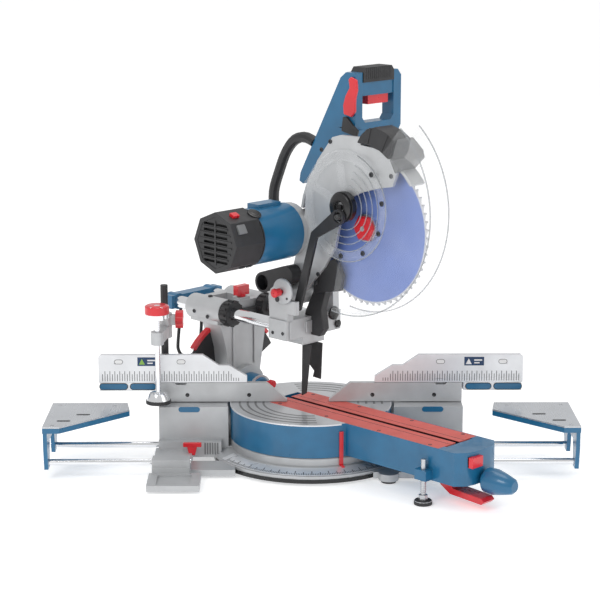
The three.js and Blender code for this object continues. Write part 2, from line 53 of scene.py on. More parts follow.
SPINDLE = (-306, -35)  # work clamp spindle
FOOT = (362, -68)      # levelling foot
WORLD_LIGHT, FLOOR_GLOW = 0.70, 0.36
LIGHT_TARGET = (0, 0, 0.3)


# ---- camera, floor and light ----
def make_camera():
    data = bpy.data.cameras.new("camera")
    data.sensor_width, data.lens = 36, 114
    data.clip_end = 50
    cam = bpy.data.objects.new("camera", data)
    cam.location = (-0.0457, -3.7076, 1.1693)
    cam.rotation_euler = (math.radians(90 - 12.824), 0, math.radians(-0.3675))
    bpy.context.scene.collection.objects.link(cam)
    bpy.context.scene.camera = cam
    bpy.context.scene.view_settings.view_transform = "Standard"


def area_light(name, spot, size, power):
    data = bpy.data.lights.new(name, "AREA")
    data.size, data.energy = size, power
    lamp = bpy.data.objects.new(name, data)
    lamp.location = spot
    lamp.rotation_euler = (Vector(LIGHT_TARGET) - Vector(spot)).to_track_quat("-Z", "Y").to_euler()
    bpy.context.scene.collection.objects.link(lamp)


def make_stage():
    bm = bmesh.new()
    bmesh.ops.create_grid(bm, x_segments=8, y_segments=8, size=14)
    data = bpy.data.meshes.new("floor")
    bm.to_mesh(data)
    bm.free()
    floor = bpy.data.objects.new("floor", data)
    floor.location.z = -0.0003
    bpy.context.scene.collection.objects.link(floor)
    mat = bpy.data.materials.new("floor")
    mat.use_nodes = True
    inputs = mat.node_tree.nodes["Principled BSDF"].inputs
    inputs["Base Color"].default_value = (0.93, 0.93, 0.93, 1)
    inputs["Roughness"].default_value = 0.8
    inputs["Emission Color"].default_value = (1, 1, 1, 1)
    inputs["Emission Strength"].default_value = FLOOR_GLOW
    data.materials.append(mat)
    world = bpy.data.worlds.new("studio")
    world.use_nodes = True
    world.node_tree.nodes["Background"].inputs["Color"].default_value = (1, 1, 1, 1)
    world.node_tree.nodes["Background"].inputs["Strength"].default_value = WORLD_LIGHT
    bpy.context.scene.world = world
    area_light("key", (-1.8, -2.6, 2.8), 1.4, 38)
    area_light("fill", (2.6, -1.6, 1.6), 1.6, 12)
    area_light("top", (0.2, 0.6, 3.0), 1.6, 18)


# ---- materials ----
class Nodes:
    """Short calls for a material's node tree."""

    def __init__(self, name):
        self.mat = bpy.data.materials.new(name)
        self.mat.use_nodes = True
        self.tree = self.mat.node_tree
        self.bsdf = self.tree.nodes["Principled BSDF"]
        self.place = self.new("ShaderNodeTexCoord").outputs["Object"]

    def new(self, kind, **values):
        node = self.tree.nodes.new(kind)
        for key, value in values.items():
            setattr(node, key, value)
        return node

    def plug(self, node, **inputs):
        for key, value in inputs.items():
            socket = node.inputs[int(key[1:])] if key[0] == "_" else node.inputs[key.replace("_", " ")]
            if isinstance(value, bpy.types.NodeSocket):
                self.tree.links.new(value, socket)
            else:
                socket.default_value = value
        return node

    def noise(self, scale, detail=3.0, stretch=None):
        where = self.place
        if stretch:
            where = self.plug(self.new("ShaderNodeMapping"), Vector=where, Scale=stretch).outputs[0]
        made = self.new("ShaderNodeTexNoise")
        return self.plug(made, Vector=where, Scale=scale, Detail=detail).outputs["Fac"]

    def math(self, operation, a, b=0.0):
        return self.plug(self.new("ShaderNodeMath", operation=operation), _0=a, _1=b).outputs[0]

    def between(self, value, low, high, to_low=0.0, to_high=1.0):
        made = self.plug(self.new("ShaderNodeMapRange"), _0=value, _1=low, _2=high, _3=to_low, _4=to_high)
        return made.outputs[0]

    def mix(self, share, a, b):
        node = self.new("ShaderNodeMix", data_type="RGBA")
        return self.plug(node, _0=share, _6=a, _7=b).outputs[2]

    def axis(self, name):
        return self.plug(self.new("ShaderNodeSeparateXYZ"), Vector=self.place).outputs[name]


def tone(colour, share):
    return tuple(min(1.0, c * share) for c in colour[:3]) + (1.0,)


def surface(name, colour, rough, metal=0.0, vary=0.12, grain=900.0, bump=0.15, stretch=None, wear=0.35,
            edge=0.0007, coat=0.0):
    """A finish with mottled colour, a fine grain, softened edges and lighter, rubbed corners."""
    n = Nodes(name)
    mottle = n.noise(22, 5)
    base = n.mix(n.between(mottle, 0.3, 0.7), tone(colour, 1 - vary), tone(colour, 1 + vary))
    soft = n.plug(n.new("ShaderNodeBevel", samples=4), Radius=edge).outputs[0]
    flat = n.new("ShaderNodeNewGeometry").outputs["Normal"]
    turn = n.plug(n.new("ShaderNodeVectorMath", operation="DOT_PRODUCT"), _0=soft, _1=flat).outputs["Value"]
    rubbed = n.math("MULTIPLY", n.between(turn, 0.995, 0.86), n.between(n.noise(140, 4), 0.35, 0.7, 0.0, wear))
    n.plug(n.bsdf, Base_Color=n.mix(rubbed, base, tone(tuple(0.55 * c + 0.35 for c in colour), 1)))
    n.plug(n.bsdf, Roughness=n.between(n.noise(60, 4, stretch), 0.2, 0.8, rough - 0.07, rough + 0.09))
    n.plug(n.bsdf, Metallic=metal, Coat_Weight=coat)
    relief = n.plug(n.new("ShaderNodeBump"), Strength=bump, Distance=0.0002, Height=n.noise(grain, 3, stretch),
                    Normal=soft)
    n.plug(n.bsdf, Normal=relief.outputs[0])
    return n


def material(*args, **kwargs):
    return surface(*args, **kwargs).mat


def turntable_paint():
    """Blue paint with the machined silver top of the drum."""
    n = surface("drum_paint", BLUE, 0.33, coat=0.3)
    x, y, z = n.axis("X"), n.axis("Y"), n.axis("Z")
    radius = n.math("SQRT", n.math("ADD", n.math("MULTIPLY", x, x), n.math("MULTIPLY", y, y)))
    bare = n.math("MULTIPLY", n.math("GREATER_THAN", z, 0.1117), n.math("LESS_THAN", radius, 0.1612))
    turned = n.math("SINE", n.math("MULTIPLY", radius, 4200.0))
    silver = n.mix(n.between(turned, -1, 1), (0.50, 0.51, 0.53, 1), (0.66, 0.67, 0.69, 1))
    paint = n.bsdf.inputs["Base Color"].links[0].from_socket
    n.plug(n.bsdf, Base_Color=n.mix(bare, paint, silver), Metallic=n.math("MULTIPLY", bare, 0.75))
    return n.mat


def blade_finish():
    """Lilac-blue coating that ends in a bright ground band at the teeth."""
    n = surface("blade_coat", (0.155, 0.235, 0.56), 0.36, metal=0.2, vary=0.04, grain=260, bump=0.02, wear=0.1)
    x, y, z = n.axis("X"), n.axis("Y"), n.axis("Z")
    s = n.math("SUBTRACT", n.math("MULTIPLY", n.math("SUBTRACT", x, y), C45), BLADE[0] / 1000)
    h = n.math("SUBTRACT", z, (BLADE[1] + FLOOR) / 1000)
    radius = n.math("SQRT", n.math("ADD", n.math("MULTIPLY", s, s), n.math("MULTIPLY", h, h)))
    coat = n.bsdf.inputs["Base Color"].links[0].from_socket
    n.plug(n.bsdf, Base_Color=n.mix(n.between(radius, 0.1435, 0.1455), coat, (0.62, 0.63, 0.66, 1)))
    return n.mat


def clear_plastic(name, thin, thick, colour):
    n = Nodes(name)
    facing = n.plug(n.new("ShaderNodeLayerWeight"), Blend=0.35).outputs["Facing"]
    haze = n.between(n.noise(9, 4), 0.3, 0.7, 0.0, 0.025)
    n.plug(n.bsdf, Base_Color=n.mix(n.between(n.noise(30, 4), 0.3, 0.7), tone(colour, 0.94), tone(colour, 1.06)))
    n.plug(n.bsdf, Alpha=n.math("ADD", haze, n.between(facing, 0.45, 1.0, thin, thick)))
    n.plug(n.bsdf, Roughness=n.between(n.noise(80, 3), 0.2, 0.8, 0.05, 0.16))
    n.plug(n.bsdf, Normal=n.plug(n.new("ShaderNodeBump"), Strength=0.05, Distance=0.0003,
                                 Height=n.noise(40, 2)).outputs[0])
    return n.mat


BLUE = (0.008, 0.122, 0.255)
CAST = (0.50, 0.51, 0.52)
RED = (0.66, 0.012, 0.022)
MATS = {
    "blue": material("blue_paint", BLUE, 0.33, vary=0.09, coat=0.35),
    "cast": material("cast_aluminium", CAST, 0.42, metal=0.45, vary=0.07, grain=700, bump=0.35),
    "machined": material("machined_aluminium", (0.72, 0.73, 0.75), 0.30, metal=0.55, vary=0.06, grain=160,
                         bump=0.12, stretch=(0.06, 1.0, 1.0)),
    "black": material("black_plastic", (0.022, 0.022, 0.024), 0.46, vary=0.2, grain=1300, bump=0.3, wear=0.12),
    "dark_gloss": material("black_gloss", (0.012, 0.012, 0.013), 0.24, vary=0.1, bump=0.06, wear=0.1),
    "rubber": material("soft_rubber", (0.028, 0.028, 0.030), 0.62, vary=0.15, grain=1700, bump=0.45, wear=0.1),
    "red": material("red_plastic", RED, 0.30, vary=0.1, bump=0.1, wear=0.2, coat=0.4),
    "insert": material("insert_plastic", (0.60, 0.105, 0.085), 0.5, vary=0.08, grain=1100, bump=0.25, wear=0.2),
    "chrome": material("chromed_steel", (0.80, 0.81, 0.83), 0.12, metal=1.0, vary=0.03, bump=0.03, wear=0.1,
                       stretch=(1, 1, 0.2)),
    "steel": material("plated_steel", (0.55, 0.56, 0.58), 0.30, metal=0.9, vary=0.08, bump=0.12),
    "table_plate": material("extension_plate", (0.55, 0.57, 0.60), 0.27, metal=0.6, vary=0.05, grain=220,
                            bump=0.1, stretch=(1.0, 0.05, 1.0)),
    "copper": material("winding_copper", (0.45, 0.18, 0.07), 0.35, metal=0.9),
    "grey": material("grey_cast", (0.20, 0.205, 0.21), 0.45, metal=0.4, bump=0.3),
    "navy": material("printed_navy", (0.012, 0.045, 0.12), 0.45, vary=0.1, bump=0.05, wear=0.0),
    "white": material("printed_white", (0.80, 0.80, 0.80), 0.5, vary=0.04, bump=0.05, wear=0.1),
    "green": material("printed_green", (0.22, 0.42, 0.07), 0.45, vary=0.06, bump=0.05),
    "ink": material("printed_ink", (0.03, 0.032, 0.036), 0.5, vary=0.1, bump=0.03, wear=0.0),
    "drum": turntable_paint(),
    "blade": blade_finish(),
    "clear": clear_plastic("clear_guard", 0.04, 0.5, (0.86, 0.88, 0.90, 1)),
    "rim": clear_plastic("clear_rim", 0.45, 0.9, (0.36, 0.38, 0.40, 1)),
    "smoke": clear_plastic("smoked_guard", 0.55, 0.9, (0.15, 0.155, 0.16, 1)),
}


# ---- shapes ----
class Shape:
    """Solids gathered into one mesh, in millimetres of SWING or BASE."""

    def __init__(self, place):
        self.bm, self.place = bmesh.new(), place

    def point(self, axis, a, b, t):
        return {"x": (t, a, b), "y": (a, t, b), "z": (a, b, t)}[axis]

    def prism(self, axis, outline, low, high):
        """The outline, in the two directions other than axis, extruded from low to high."""
        ends = [[self.bm.verts.new(self.point(axis, a, b, t)) for a, b in outline] for t in (low, high)]
        self.bm.faces.new(ends[0])
        self.bm.faces.new(ends[1])
        for i in range(len(outline)):
            j = (i + 1) % len(outline)
            self.bm.faces.new((ends[0][i], ends[0][j], ends[1][j], ends[1][i]))
        return self

    def box(self, x0, x1, y0, y1, z0, z1):
        return self.prism("z", [(x0, y0), (x1, y0), (x1, y1), (x0, y1)], z0, z1)

    def lathe(self, axis, centre, profile, sides=32, first=0.0, last=360.0):
        """The closed (radius, height) profile turned about axis, all round or from first to last."""
        whole = last - first > 359.9
        count = sides if whole else sides + 1
        rings = []
        for i in range(count):
            a = math.radians(first + (last - first) * i / sides)
            rings.append([self.bm.verts.new(self.point(
                axis, centre[0] + r * math.cos(a), centre[1] + r * math.sin(a), t)) for r, t in profile])
        for i in range(sides):
            here, there = rings[i], rings[(i + 1) % count]
            for k in range(len(profile)):
                m = (k + 1) % len(profile)
                self.bm.faces.new((here[k], here[m], there[m], there[k]))
        if not whole:
            self.bm.faces.new(rings[0])
            self.bm.faces.new(rings[-1])
        return self

    def disc(self, axis, centre, radius, low, high, sides=24):
        outline = [(centre[0] + radius * math.cos(math.tau * i / sides),
                    centre[1] + radius * math.sin(math.tau * i / sides)) for i in range(sides)]
        return self.prism(axis, outline, low, high)

    def ring(self, axis, centre, inner, outer, low, high, sides=48, first=0.0, last=360.0):
        return self.lathe(axis, centre, [(inner, low), (outer, low), (outer, high), (inner, high)],
                          sides, first, last)

    def screw(self, axis, centre, radius, low, high):
        """A pan head with a hexagon socket."""
        up = 1 if high > low else -1
        t = radius * 0.18 * up
        self.lathe(axis, centre, [(0.45 * radius, low), (radius, low), (radius, high - t),
                                  (radius * 0.86, high), (0.45 * radius, high)], 20)
        return self.disc(axis, centre, 0.46 * radius, low, high - 2.2 * t, 6)

    def piece(self, name, body, finish, slot, bevel=0.5):
        bmesh.ops.remove_doubles(self.bm, verts=self.bm.verts, dist=0.0005)
        bmesh.ops.transform(self.bm, matrix=self.place, verts=self.bm.verts)
        bmesh.ops.recalc_face_normals(self.bm, faces=self.bm.faces)
        data = bpy.data.meshes.new(name)
        self.bm.to_mesh(data)
        self.bm.free()
        data.shade_smooth()
        data.set_sharp_from_angle(angle=math.radians(35))
        made = bpy.data.objects.new(name, data)
        bpy.context.scene.collection.objects.link(made)
        data.materials.append(MATS[finish])
        if bevel:
            rounded = made.modifiers.new("edges", "BEVEL")
            rounded.width, rounded.segments, rounded.limit_method = bevel / 1000, 2, "ANGLE"
            rounded.angle_limit = math.radians(40)
            rounded.harden_normals = True
        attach(made, body)
        return made


def polar(centre, radius, degrees):
    a = math.radians(degrees)
    return centre[0] + radius * math.cos(a), centre[1] + radius * math.sin(a)


def capsule(a, ra, b, rb):
    """Outline of two joined circles."""
    steps = 10
    tilt = math.atan2(b[1] - a[1], b[0] - a[0])
    lean = math.acos((ra - rb) / math.dist(a, b))
    points = []
    for (x, y), r, start, end in ((a, ra, tilt + lean, tilt + math.tau - lean), (b, rb, tilt - lean, tilt + lean)):
        for i in range(steps + 1):
            t = start + (end - start) * i / steps
            points.append((x + r * math.cos(t), y + r * math.sin(t)))
    return points


def curve(name, points, radius, body, finish):
    """A round cord along points, which are in metres."""
    data = bpy.data.curves.new(name, "CURVE")
    data.dimensions = "3D"
    spline = data.splines.new("POLY")
    spline.points.add(len(points) - 1)
    for target, p in zip(spline.points, points):
        target.co = (*p, 1)
    data.bevel_depth, data.bevel_resolution, data.use_fill_caps = radius, 5, True
    made = bpy.data.objects.new(name, data)
    bpy.context.scene.collection.objects.link(made)
    data.materials.append(MATS[finish])
    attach(made, body)
    return made


def through(points, steps):
    """A smooth line through the points."""
    points = [Vector(p) for p in points]
    padded = [2 * points[0] - points[1], *points, 2 * points[-1] - points[-2]]
    line = []
    for a, b, c, d in zip(padded, padded[1:], padded[2:], padded[3:]):
        for i in range(steps):
            t = i / steps
            line.append(0.5 * ((2 * b) + (c - a) * t + (2 * a - 5 * b + 4 * c - d) * t * t
                               + (3 * b - a - 3 * c + d) * t * t * t))
    return [*line, points[-1]]


# ---- cords ----
CORD, LEAD = 0.008, 0.007      # diameters in metres
PITCH = 8                      # from one turn of the coil to the next
COIL, OUTER, INNER = (64, 304), 64, 32
STEPS = 72                     # points in one turn


def mains_cord():
    """Leaves the gland, runs to the floor and winds four turns inwards and four back out on top."""
    start = [BASE @ Vector(p) for p in ((0, 228, 11), (0, 240, 10.5), (-2, 256, 7), (-6, 276, 1))]
    line = through([*start, BASE @ Vector((COIL[0] - OUTER - 8.3, 304, -1))], 6)
    turns = (OUTER - INNER) / PITCH
    wound = []
    for i in range(1, int(STEPS * (2 * turns + 0.5)) + 1):
        turn = i / STEPS
        inwards = OUTER + PITCH * max(0.0, 1 - turn * 3) - PITCH * turn
        radius = max(INNER, inwards) if turn < turns + 0.5 else INNER + PITCH * (turn - turns - 0.5)
        rise = min(1.0, max(0.0, (turn - turns) / 0.5))
        x, y = polar(COIL, radius, 180 - 360 * turn)
        wound.append(BASE @ Vector((x, y, -1 + PITCH * rise)))
    end = [wound[-1]]
    for p in ((COIL[0] + OUTER + 7, 276, 6.4), (COIL[0] + OUTER + 8, 266, 4.5), (COIL[0] + OUTER + 8, 254, 4)):
        end.append(BASE @ Vector(p))
    line = [*line, *wound, *through(end, 6)[1:]]
    made = curve("mains_cord", line, CORD / 2, "base", "rubber")
    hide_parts("cord_tube", "cord_coil")


def rail_lead():
    """The short lead that hangs in a loop from the rear cap of the rails."""
    bend = 32.2
    drop = [(-352, -34, 257), (-352, -37, 235), (-354, -39.2, 205)]
    loop = [(-358 - 3 * math.sin(a), -7 - bend * math.cos(a), 172 - bend * math.sin(a))
            for a in (math.pi * i / 8 for i in range(9))]
    rise = [(-354, 25.2, 205), (-352, 23, 235), (-352, 20, 257)]
    points = [SWING @ Vector(p) for p in (*drop, *loop, *rise)]
    line = through(points, 8)
    made = curve("rail_lead", line, LEAD / 2, "carriage", "rubber")


# ---- CAD nodes ----
def smooth_group():
    """Merges the facets' shared points and shades them smooth except over sharp edges."""
    tree = bpy.data.node_groups.new("smooth_facets", "GeometryNodeTree")
    tree.interface.new_socket("Geometry", in_out="INPUT", socket_type="NodeSocketGeometry")
    tree.interface.new_socket("Geometry", in_out="OUTPUT", socket_type="NodeSocketGeometry")
    start, end = tree.nodes.new("NodeGroupInput"), tree.nodes.new("NodeGroupOutput")
    merge = tree.nodes.new("GeometryNodeMergeByDistance")
    merge.inputs["Distance"].default_value = 0.00001
    faces, edges = tree.nodes.new("GeometryNodeSetShadeSmooth"), tree.nodes.new("GeometryNodeSetShadeSmooth")
    edges.domain = "EDGE"
    edges.inputs["Shade Smooth"].default_value = False
    angle, above = tree.nodes.new("GeometryNodeInputMeshEdgeAngle"), tree.nodes.new("FunctionNodeCompare")
    above.inputs["B"].default_value = math.radians(34)
    for a, b in ((start.outputs[0], merge.inputs["Geometry"]), (merge.outputs[0], faces.inputs["Geometry"]),
                 (faces.outputs[0], edges.inputs["Geometry"]), (angle.outputs[0], above.inputs["A"]),
                 (above.outputs[0], edges.inputs["Selection"]), (edges.outputs[0], end.inputs[0])):
        tree.links.new(a, b)
    return tree


FINISH = {
    "blue": "miter_knob rail_cap motor_housing handle_arm extension_frame_left extension_frame_right",
    "cast": "base_casting fence_left fence_right clamp_arm bevel_arm slide_housing head_bracket upper_guard",
    "machined": "upper_fence_left upper_fence_right",
    "table_plate": "extension_plate_left extension_plate_right",
    "chrome": "extension_rod_left_rear extension_rod_left_front extension_rod_right_rear "
              "extension_rod_right_front rail_left rail_right clamp_spindle",
    "steel": "pivot_bolt arbor_shaft levelling_foot",
    "black": "clamp_post rail_collars guard_link belt_housing motor_end_cap dust_port carry_handle plug",
    "rubber": "rubber_foot_1 rubber_foot_2 rubber_foot_3 rubber_foot_4 cord_gland cord_tube cord_coil "
              "chip_flap drive_belt handle_grip",
    "red": "clamp_arm_knob detent_button detent_lever slide_lock_knob head_lock_pin trigger lock_off_lever",
    "insert": "kerf_insert_left kerf_insert_right",
    "copper": "motor_rotor",
    "drum": "turntable",
    "blade": "saw_blade",
    "clear": "lower_guard guard_hub",
}


def dress_nodes():
    group = smooth_group()
    for finish, names in FINISH.items():
        for name in names.split():
            node = nodes[name]
            if "custom_normal" in node.data.attributes:
                node.data.attributes.remove(node.data.attributes["custom_normal"])
            node.data.materials.clear()
            node.data.materials.append(MATS[finish])
            node.modifiers.new("smooth", "NODES").node_group = group


# ---- table and base ----
def table_details():
    grooves = Shape(SWING)
    for radius in (96, 112, 128, 144):
        grooves.ring("z", (0, 0), radius - 2.2, radius + 2.2, 107, 107.25, 56, 41, 148)
        grooves.ring("z", (0, 0), radius - 2.2, radius + 2.2, 107, 107.25, 56, 212, 319)
    grooves.piece("table_grooves", "table", "grey", "cast", 0)
    rim = Shape(SWING)
    rim.ring("z", (0, 0), 161.2, 163.4, 104.5, 107.2, 96, 24, 336)
    rim.piece("table_rim", "table", "machined", "cast", 0.3)
    pointer = Shape(SWING)
    a = -24.5
    pointer.ring("z", (0, 0), 163.2, 166.5, 24, 92, 4, a - 1.4, a + 1.4)
    pointer.ring("z", (0, 0), 163.2, 176, 21.6, 25, 4, a - 1.0, a + 1.0)
    pointer.piece("miter_pointer", "table", "red", "red_plastic", 0.4)
    screws = Shape(SWING)
    for s in (-40, 90, 230, 360):
        for n in (-48, 48):
            screws.screw("z", (s, n), 4.2, 106.6, 107.3)
    screws.piece("insert_screws", "table", "ink", "black_plastic", 0)
    seam = Shape(SWING)
    for side in (-1, 1):
        seam.box(-61, 386, *sorted((side * 19.5, side * 20.5)), 107, 107.15)
    seam.piece("insert_lines", "table", "dark_gloss", "black_plastic", 0)


def scale_ring():
    plate = Shape(BASE)
    plate.lathe("z", (0, 0), [(171, 22.6), (196, 15.4), (196, 16.2), (171, 23.4)], 72, 205, 335)
    plate.piece("miter_scale", "base", "machined", "cast", 0)
    marks = Shape(BASE)
    for i in range(-60, 61):
        a = -90 + i
        long = 12 if i % 10 == 0 else (9 if i % 5 == 0 else 5)
        width = 0.16 if i % 5 else 0.24
        inner, outer = ((r, 16.25 + (196 - r) * 7.2 / 25) for r in (194.5 - long, 194.5))
        marks.lathe("z", (0, 0), [inner, outer, (outer[0], outer[1] + 0.15), (inner[0], inner[1] + 0.15)],
                    1, a - width, a + width)
    marks.piece("miter_scale_marks", "base", "ink", "black_plastic", 0)
    band = Shape(BASE)
    band.ring("z", (0, 0), 199.1, 200.2, 0.5, 8.5, 96, 196, 344)
    band.piece("ring_edge", "base", "dark_gloss", "black_plastic", 0.2)


def base_details():
    inlay = Shape(BASE)
    for side in (-1, 1):
        inlay.prism("y", capsule((side * 229, 101), 5.6, (side * 261, 101), 5.61), -29, -27.9)
    inlay.piece("wing_inlays", "base", "blue", "blue_paint", 0.4)
    holes = Shape(BASE)
    for side in (-1, 1):
        for x in (125, 250):
            holes.screw("y", (side * x, 122), 4.2, 5.2, 4.2)
    holes.piece("fence_bolts", "base", "dark_gloss", "black_plastic", 0)
    thumb = Shape(BASE)
    thumb.disc("y", (-238, 32), 4.5, -68, -52)
    thumb.box(-256, -219, -75, -67, 36, 45)
    thumb.prism("y", [(-248, 36.2), (-228, 36.2), (-232, 19), (-244, 19)], -75, -67)
    thumb.piece("rod_thumbscrew", "base", "red", "red_plastic", 1.6)
    ribs = Shape(BASE)
    for i in range(6):
        ribs.box(-214 + 5 * i, -211.5 + 5 * i, -51.4, -49.8, 14, 38)
    ribs.piece("base_ribs", "base", "grey", "cast", 0.3)
    collar = Shape(BASE)
    collar.lathe("z", (0, 0), [(151, 23), (162.6, 23), (162.6, 37), (160, 39.7), (151, 39.7)], 96)
    collar.piece("table_collar", "base", "cast", "cast", 0.6)


def fence_details():
    for side, label in ((-1, "left"), (1, "right")):
        body = f"upper_fence_{label}"
        marks = Shape(BASE)
        for i in range(56):
            x = side * (146 + 5 * i)
            top = 158 if i < 3 else (172 if i % 2 == 0 else 166)
            marks.box(x - 0.55, x + 0.55, 4.7, 4.95, 151.5, top)
        marks.piece(f"fence_scale_{label}", body, "ink", "black_plastic", 0)
        low, high = sorted((side * 310, side * 350))
        label_plate = Shape(BASE).box(low, high, 4.6, 4.95, 183, 201)
        label_plate.piece(f"fence_label_{label}", body, "navy", "blue_paint", 0.2)
        patch = Shape(BASE).prism("y", [(low + 3, 186), (low + 15, 186), (low + 9, 198)], 4.3, 4.6)
        patch.piece(f"fence_label_patch_{label}", body, "green" if side < 0 else "white", "cast", 0)
        lines = Shape(BASE).box(low + 20, high - 4, 4.3, 4.6, 193, 196)
        lines.box(low + 20, high - 9, 4.3, 4.6, 187.5, 190)
        lines.piece(f"fence_label_lines_{label}", body, "white", "cast", 0)
        for x0, x1, number in ((320, 359, 1), (377, 421, 2)):
            ends = (side * x0, 139.6), (side * x1, 139.6)
            shade = Shape(BASE).prism("y", capsule(ends[0], 7.2, ends[1], 7.21), 5.3, 5.9)
            shade.piece(f"guide_edge_{label}_{number}", body, "ink", "black_plastic", 0)
            strip = Shape(BASE).prism("y", capsule(ends[0], 5.8, ends[1], 5.81), 4.6, 5.9)
            strip.piece(f"guide_strip_{label}_{number}", body, "blue", "blue_paint", 0.4)
        for x, number in ((262, 1), (388, 2)):
            ends = (side * x - 4, 191.5), (side * x + 4, 191.5)
            edge = Shape(BASE).prism("y", capsule(ends[0], 4.9, ends[1], 4.91), 4.75, 4.95)
            edge.piece(f"fence_slot_edge_{label}_{number}", body, "grey", "cast", 0)
            face = Shape(BASE).prism("y", capsule(ends[0], 3.8, ends[1], 3.81), 4.5, 4.95)
            face.piece(f"fence_slot_{label}_{number}", body, "white", "cast", 0)


def extension_details():
    for side, label in ((-1, "left"), (1, "right")):
        bars = Shape(BASE)
        for x, y in ((452, -84), (486, -128)):
            bars.prism("z", capsule((side * x - 10, y), 3.5, (side * x + 10, y), 3.5), 107, 107.4)
        bars.piece(f"plate_slots_{label}", f"extension_{label}", "ink", "black_plastic", 0)
        heads = Shape(BASE)
        for x, y in ((505, -160), (505, -18), (395, -22)):
            heads.screw("z", (side * x, y), 4, 106.8, 107.8)
        heads.piece(f"plate_screws_{label}", f"extension_{label}", "steel", "steel", 0)


# ---- bevel arm and slide ----
def bevel_details():
    plate = Shape(SWING)
    plate.ring("x", (0, BEVEL_Z), 52, 133, -240, -233, 40, 28, 152)
    plate.piece("bevel_quadrant", "bevel", "black", "black_plastic", 0.8)
    rim = Shape(SWING)
    rim.ring("x", (0, BEVEL_Z), 133.2, 141, -244, -231, 48, 40, 140)
    rim.piece("bevel_quadrant_rim", "bevel", "red", "red_plastic", 0.8)
    boss = Shape(SWING)
    boss.lathe("x", (0, BEVEL_Z), [(12.5, -180), (30, -180), (30, -150), (22, -142.5), (12.5, -142)], 40)
    boss.piece("pivot_boss_cover", "table", "blue", "blue_paint", 0.8)
    knob = Shape(SWING)
    knob.lathe("x", (14, BEVEL_Z + 12), [(0, -141.8), (4, -141.8), (4, -134), (9, -132), (9, -122), (0, -120)], 8)
    knob.piece("bevel_stop_knob", "table", "red", "red_plastic", 0.8)
    ribs = Shape(SWING)
    for n in (-30, 30):
        ribs.box(-194.8, -192, n - 3, n + 3, 150, 240)
    ribs.piece("bevel_arm_ribs", "bevel", "cast", "cast", 0.8)
    bolts = Shape(SWING)
    for n in (-RAIL_N, RAIL_N):
        bolts.screw("z", (-240, n), 5, 297, 300.5)
    bolts.screw("y", (-262, 268), 4.2, -77.8, -79.4).screw("y", (-222, 262), 4.2, -77.8, -79.4)
    bolts.piece("slide_housing_screws", "bevel", "ink", "black_plastic", 0)


def collar_details():
    teeth = Shape(SWING)
    for n in (-RAIL_N, RAIL_N):
        for i in range(12):
            y, z = polar((n, RAIL_Z), 25.6, 30 * i)
            teeth.disc("x", (y, z), 3, -186, -171, 8)
    teeth.piece("collar_lugs", "bevel", "black", "black_plastic", 0.4)


def bracket_details():
    plate = Shape(SWING)
    plate.lathe("y", (-1, 350), [(4.6, -76), (26, -76), (26, -80), (23, -82), (4.6, -82)], 40)
    plate.piece("bracket_plate", "carriage", "cast", "cast", 0.6)
    heart = Shape(SWING)
    heart.lathe("y", (-5, 349), [(1, -96.2), (9.5, -96.2), (9.5, -99.5), (7, -101), (1, -101)], 8)
    heart.piece("lock_pin_head", "lock_pin", "red", "red_plastic", 1.0)
    dark = Shape(SWING)
    dark.disc("y", (-13, 333), 5.5, -83, -82).disc("y", (14, 338), 2.4, -83, -82)
    dark.screw("y", (-2, 264), 3.6, -78, -79.4).screw("y", (-30, 262), 3.6, -78, -79.4)
    dark.piece("bracket_holes", "carriage", "ink", "black_plastic", 0)
    ribs = Shape(SWING)
    ribs.box(8.2, 11, -70, -64, 252, 288).box(8.2, 11, 64, 70, 252, 288).box(8.2, 10.5, -24, 24, 258, 282)
    ribs.piece("bracket_ribs", "carriage", "cast", "cast", 0.8)
    round_stops = Shape(SWING)
    round_stops.lathe("x", (56, 286), [(0.5, 8.2), (14, 8.2), (14, 12), (11, 14), (0.5, 14)], 28)
    round_stops.lathe("x", (68, 262), [(0.5, 8.2), (8, 8.2), (8, 12), (6, 13), (0.5, 13)], 24)
    round_stops.piece("bracket_stops", "carriage", "dark_gloss", "black_plastic", 0.5)
    chute = Shape(SWING)
    chute.prism("y", [(-8, 300), (28, 372), (50, 352), (36, 306), (42, 268), (30, 251.3), (0, 251.3), (-16, 268)],
                -7.4, 10)
    chute.piece("chip_chute", "carriage", "black", "black_plastic", 2.0)
    flaps = Shape(SWING)
    flaps.prism("y", [(-4, 233.8), (20, 233.8), (7, 132), (-6, 125)], -21, -18)
    flaps.prism("y", [(-19, 233.8), (22, 233.8), (18, 158), (-4, 159), (0, 172), (-20, 189)], 9, 12)
    made = flaps.piece("rubber_flaps", "carriage", "rubber", "rubber", 0.6)
    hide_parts("chip_flap")


